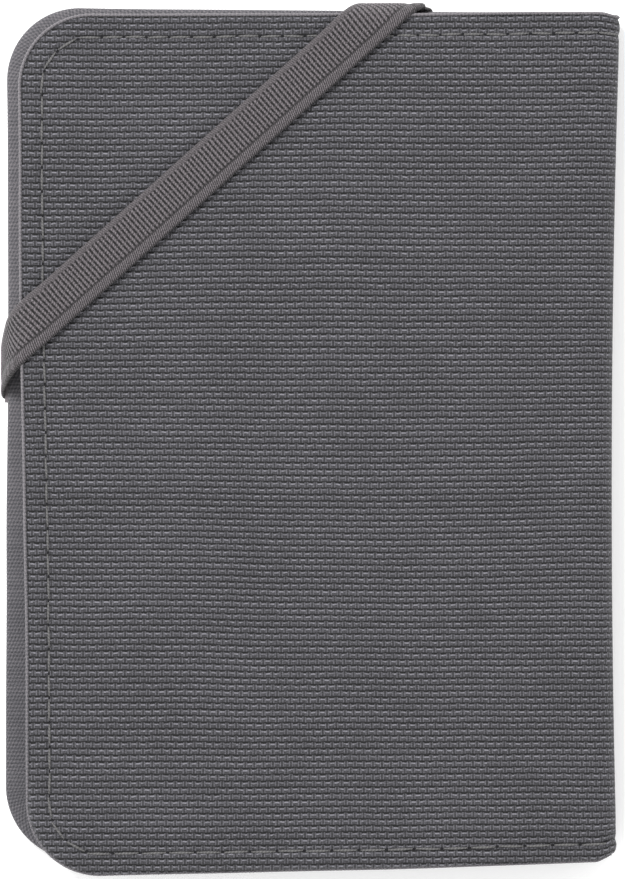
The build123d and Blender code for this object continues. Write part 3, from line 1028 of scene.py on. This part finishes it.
def elastic_cloth():
    """The strap: twisted ribs with dark slots between a plain selvedge and a beaded edge."""
    strap = Surface("elastic", 0.7, sheen=0.12)
    along = (strap.u + (strap.noise(5, 2) - 0.5) * 0.4) * (1 / STRAP_RIB)
    rib = (along * TAU).ripple()
    gap = along.floor()
    each = strap.random(gap, 4.4)
    slots = ((strap.v * (1 / 1.25) + each) * TAU).cosine().step(-0.95, -0.35)
    twist = ((strap.v * 2.1 + along * 0.8) * TAU).ripple()
    fibre = strap.noise(0.24, 3, (1.2, 1.0), 0.7)
    inside = strap.v.step(-3.15, -2.8) * strap.v.step(2.2, 1.8)
    ribs = rib.step(0.12, 0.66) * (twist * 0.3 + 0.6)
    bridge = slots.rest() * 0.42
    woven_tone = ribs.over(bridge) + (fibre - 0.5) * 1.8
    plain = (fibre - 0.5) * 1.6
    plain_tone = plain + (along * (4 * math.pi) - strap.v * 5.0).cosine() * 0.1 + 0.6
    beads = (along * (4 * math.pi) + strap.v * 7.0).cosine() * 0.3
    # Painted shade: the strap's lower edge, where it rolls over towards the cover, is darker.
    lower_shade = strap.v.step(3.4, 4.1) * -0.28
    bead_tone = beads + lower_shade + (fibre - 0.5) * 2.0 + 0.54
    channel = (strap.v - 2.1).size().step(0.34, 0.0) * -0.34
    beaded = strap.v.step(2.0, 2.3)
    edges = beaded * bead_tone + beaded.rest() * plain_tone
    tone = inside * woven_tone + inside.rest() * edges + channel
    stops = [(0.0, (8, 7, 8)), (0.3, (39, 36, 38)), (0.6, (70, 66, 68)), (1.0, (116, 110, 114))]
    strap.colour(tone, stops)
    strap.bump(rib * 0.6 + twist * 0.25 + fibre * 0.4, 0.12)
    return strap.material


def painted_hole_shade():
    """Painted shade: the dark colour of the shaded cloth inside a needle hole."""
    hole = Surface("needle_hole", 0.95, specular=0.1)
    fibre = hole.noise(0.2, 3)
    hole.colour(fibre, [(0.2, grey(14)), (0.8, grey(44))])
    hole.bump(fibre, 0.1)
    return hole.material


def twisted_thread():
    thread = Surface("thread", 0.55, sheen=0.1)
    ply = (thread.u * 11.0 + thread.v * 5.0).sine() * 0.25 + 0.35
    fibre = thread.noise(0.9, 3, (1.0, 3.0), 0.7)
    stops = [(0.0, (44, 44, 45)), (0.5, (90, 89, 89)), (1.0, (144, 143, 140))]
    thread.colour(ply * 0.55 + fibre * 0.45, stops)
    thread.bump(ply, 0.06)
    return thread.material


def ripstop_lining(name, level):
    """Smooth nylon with a fine square grid of thicker yarns."""
    cloth = Surface(name, 0.5, sheen=0.1, specular=0.4)
    lines = []
    for way in (cloth.u, cloth.v):
        share = (way * (1 / 3.6)).math("FRACT") - 0.5
        lines.append(share.size().step(0.075, 0.04))
    grid = lines[0].over(lines[1])
    fine = (cloth.u * 16.0).sine() * (cloth.v * 16.0).sine()
    mottle = cloth.noise(11, 3)
    tone = grid * 0.42 + fine * 0.08 + mottle * 0.5 + cloth.noise(0.5, 2) * 0.25
    stops = [(0.1, grey(level * 0.75)), (0.45, grey(level)), (0.95, grey(level * 1.45))]
    cloth.colour(tone, stops)
    creases = cloth.noise(26, 2, (1.0, 0.35)) * 2.2
    cloth.bump(grid * 0.6 + fine * 0.15 + creases, 0.06)
    return cloth.material


def board_plastic():
    board = Surface("board", 0.55).solid_place()
    grain = board.noise(0.8, 4)
    board.colour(grain * 0.7 + board.noise(9, 2) * 0.3, [(0.2, grey(28)), (0.8, grey(44))])
    board.bump(grain, 0.02)
    return board.material


def shield_foil():
    """Thin crinkled metal foil."""
    foil = Surface("foil", 0.32, metallic=1.0).solid_place()
    crease = foil.noise(5, 5, roughness=0.65)
    foil.colour(crease, [(0.2, (150, 150, 152)), (0.8, (205, 206, 208))])
    foil.bump(crease, 0.25, 0.6)
    return foil.material


def seam_fabric():
    """The folded cloth inside the seams."""
    seam = Surface("seam_cloth", 0.85).solid_place()
    yarn = (seam.u * 8.0).sine() * (seam.v * 8.0).sine() * 0.5 + 0.5
    seam.colour(yarn * 0.5 + seam.noise(0.6, 3) * 0.5, [(0.1, grey(48)), (0.9, grey(82))])
    seam.bump(yarn, 0.06)
    return seam.material


def floor_finish():
    paper = Surface("paper", 0.9).solid_place()
    set_inputs(paper.shader, Emission_Color=(1, 1, 1, 1), Emission_Strength=FLOOR_GLOW)
    paper.colour(paper.noise(400, 2), [(0.3, (244, 244, 244)), (0.7, (247, 247, 247))])
    return paper.material


# Assembly -------------------------------------------------------------------------------

outer_cloth = woven("shell_cloth", 0.765, 1.055, (4, 38, 76, 122), 0.15)
tape_cloth = ribbed("tape_cloth", TAPE_RIB, (50, 80, 112))
# Painted shade for the needle holes.
hole_shade_material = painted_hole_shade()
thread_look = twisted_thread()
lining_cloth = ripstop_lining("lining_cloth", 52)
pocket_cloth = ripstop_lining("pocket_cloth", 60)
elastic_look = elastic_cloth()
board_look, foil_look, seam_look = board_plastic(), shield_foil(), seam_fabric()

back, front = Cover("back"), Cover("front")


def bend(piece, cover):
    """Bake a piece's placement into its mesh; the fold's diagonal is worked out but left unused.
    """
    turn = -1 if cover.front else 1
    corner = cover.spine_x, cover.height if cover.front else 0.0
    for reach in (BEND_MIDDLE - BEND_SPREAD, BEND_MIDDLE + BEND_SPREAD):
        (corner[0] + reach / 2) * MM
        (corner[1] + turn * reach / 2) * MM
    if cover.front:
        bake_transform(piece)
    else:
        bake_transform(piece)


def finish_piece(piece, slot, carrier, *nodes):
    """Hide the CAD nodes that a piece stands for, and hang it on the body it moves with, or bake
    it in place for a cover; slot is not used.
    """
    if nodes:
        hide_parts(*nodes)
    if isinstance(carrier, Cover):
        bend(piece, carrier)
    elif carrier:
        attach(piece, carrier)


outer_panels = {back: ("back_outer_panel", "spine_outer_panel"), front: ("front_outer_panel",)}
for cover, panels in outer_panels.items():
    name = cover.name
    shell = shell_half(cover, outer_cloth)
    finish_piece(shell, "shell_fabric", cover, *panels)
    width, length = cover.end - cover.left, cover.top_right - cover.bottom_right
    width * MM
    length * MM

    tape = edge_tape(cover, tape_cloth)
    ends = ("spine_end_tapes",) if cover is back else ()
    finish_piece(tape, "edge_tape", cover, f"{name}_edge_tape", *ends)

    # The needle holes' dark discs are painted shade.
    finish_piece(hole_shade_discs(cover, hole_shade_material), "shell_fabric", cover)

    for outside in (True, False):
        seam = seam_thread(cover, outside, thread_look)
        side = "outer" if outside else "inner"
        finish_piece(seam, "thread", cover, f"{name}_{side}_thread")

    lining = lining_half(cover, lining_cloth)
    spine_part = ("spine_lining",) if cover is back else ()
    finish_piece(lining, "lining", cover, f"{name}_lining", *spine_part)
    width * MM
    length * MM

finish_piece(spine_foil(foil_look), "foil", "spine", "spine_foil")

sleeve, sleeve_tape = passport_sleeve(back, pocket_cloth, tape_cloth)
finish_piece(sleeve, "lining", "back", "passport_sleeve")
finish_piece(sleeve_tape, "edge_tape", "back", "sleeve_mouth_tape")

ticket = ticket_pocket(front, pocket_cloth)
finish_piece(ticket, "lining", "front", "ticket_pocket")

for panel, mouth, panel_node, mouth_node in card_slots(front, pocket_cloth, tape_cloth):
    finish_piece(panel, "lining", "front", panel_node)
    finish_piece(mouth, "edge_tape", "front", mouth_node)

finish_piece(card_thread(front, thread_look), "thread", "front", "card_slot_thread")

strap_piece = strap(elastic_look)
finish_piece(strap_piece, "elastic", None, "elastic_strap")
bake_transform(strap_piece)

looks = {"board": board_look, "foil": foil_look, "seams": seam_look, "strap_end": elastic_look}
for name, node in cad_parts.items():
    if node.hide_render:
        continue
    look = next((m for key, m in looks.items() if key in name), seam_look)
    node.data.materials.clear()
    node.data.materials.append(look)


# Stage, light and camera ----------------------------------------------------------------

floor_mesh = bpy.data.meshes.new("floor")
signs = (-1, -1), (1, -1), (1, 1), (-1, 1)
floor_corners = [(x * FLOOR_HALF, y * FLOOR_HALF, 0) for x, y in signs]
floor_mesh.from_pydata(floor_corners, [], [(0, 1, 2, 3)])
floor_mesh.materials.append(floor_finish())
floor = bpy.data.objects.new("floor", floor_mesh)
floor.location.z = -FLOOR_DROP_MM * MM
show(floor)

world = bpy.data.worlds.new("soft_light")
world.use_nodes = True
background = world.node_tree.nodes["Background"]
set_inputs(background, Color=(1, 1, 1, 1), Strength=WORLD_LIGHT)
bpy.context.scene.world = world


def area_light(name, place, target, size, power):
    data = bpy.data.lights.new(name, "AREA")
    data.shape, data.size, data.energy = "DISK", size, power
    light = bpy.data.objects.new(name, data)
    way = np.array(place) - np.array(target)
    light.location = place
    spin = math.atan2(way[1], way[0])
    light.rotation_euler = (0, math.atan2(math.hypot(way[0], way[1]), way[2]), spin)
    show(light)


area_light("key", KEY_PLACE, (0, 0, 0), KEY_SIZE, KEY_POWER)

camera_data = bpy.data.cameras.new("camera")
camera = bpy.data.objects.new("camera", camera_data)
camera_data.sensor_fit = "VERTICAL"
camera_data.sensor_height = SENSOR_MM
camera_data.lens = LENS_MM
camera.location = (*(v * MM for v in CAMERA_MM), front.height * MM + CAMERA_DISTANCE)
show(camera)
bpy.context.scene.camera = camera
bpy.context.scene.view_settings.view_transform = "Standard"
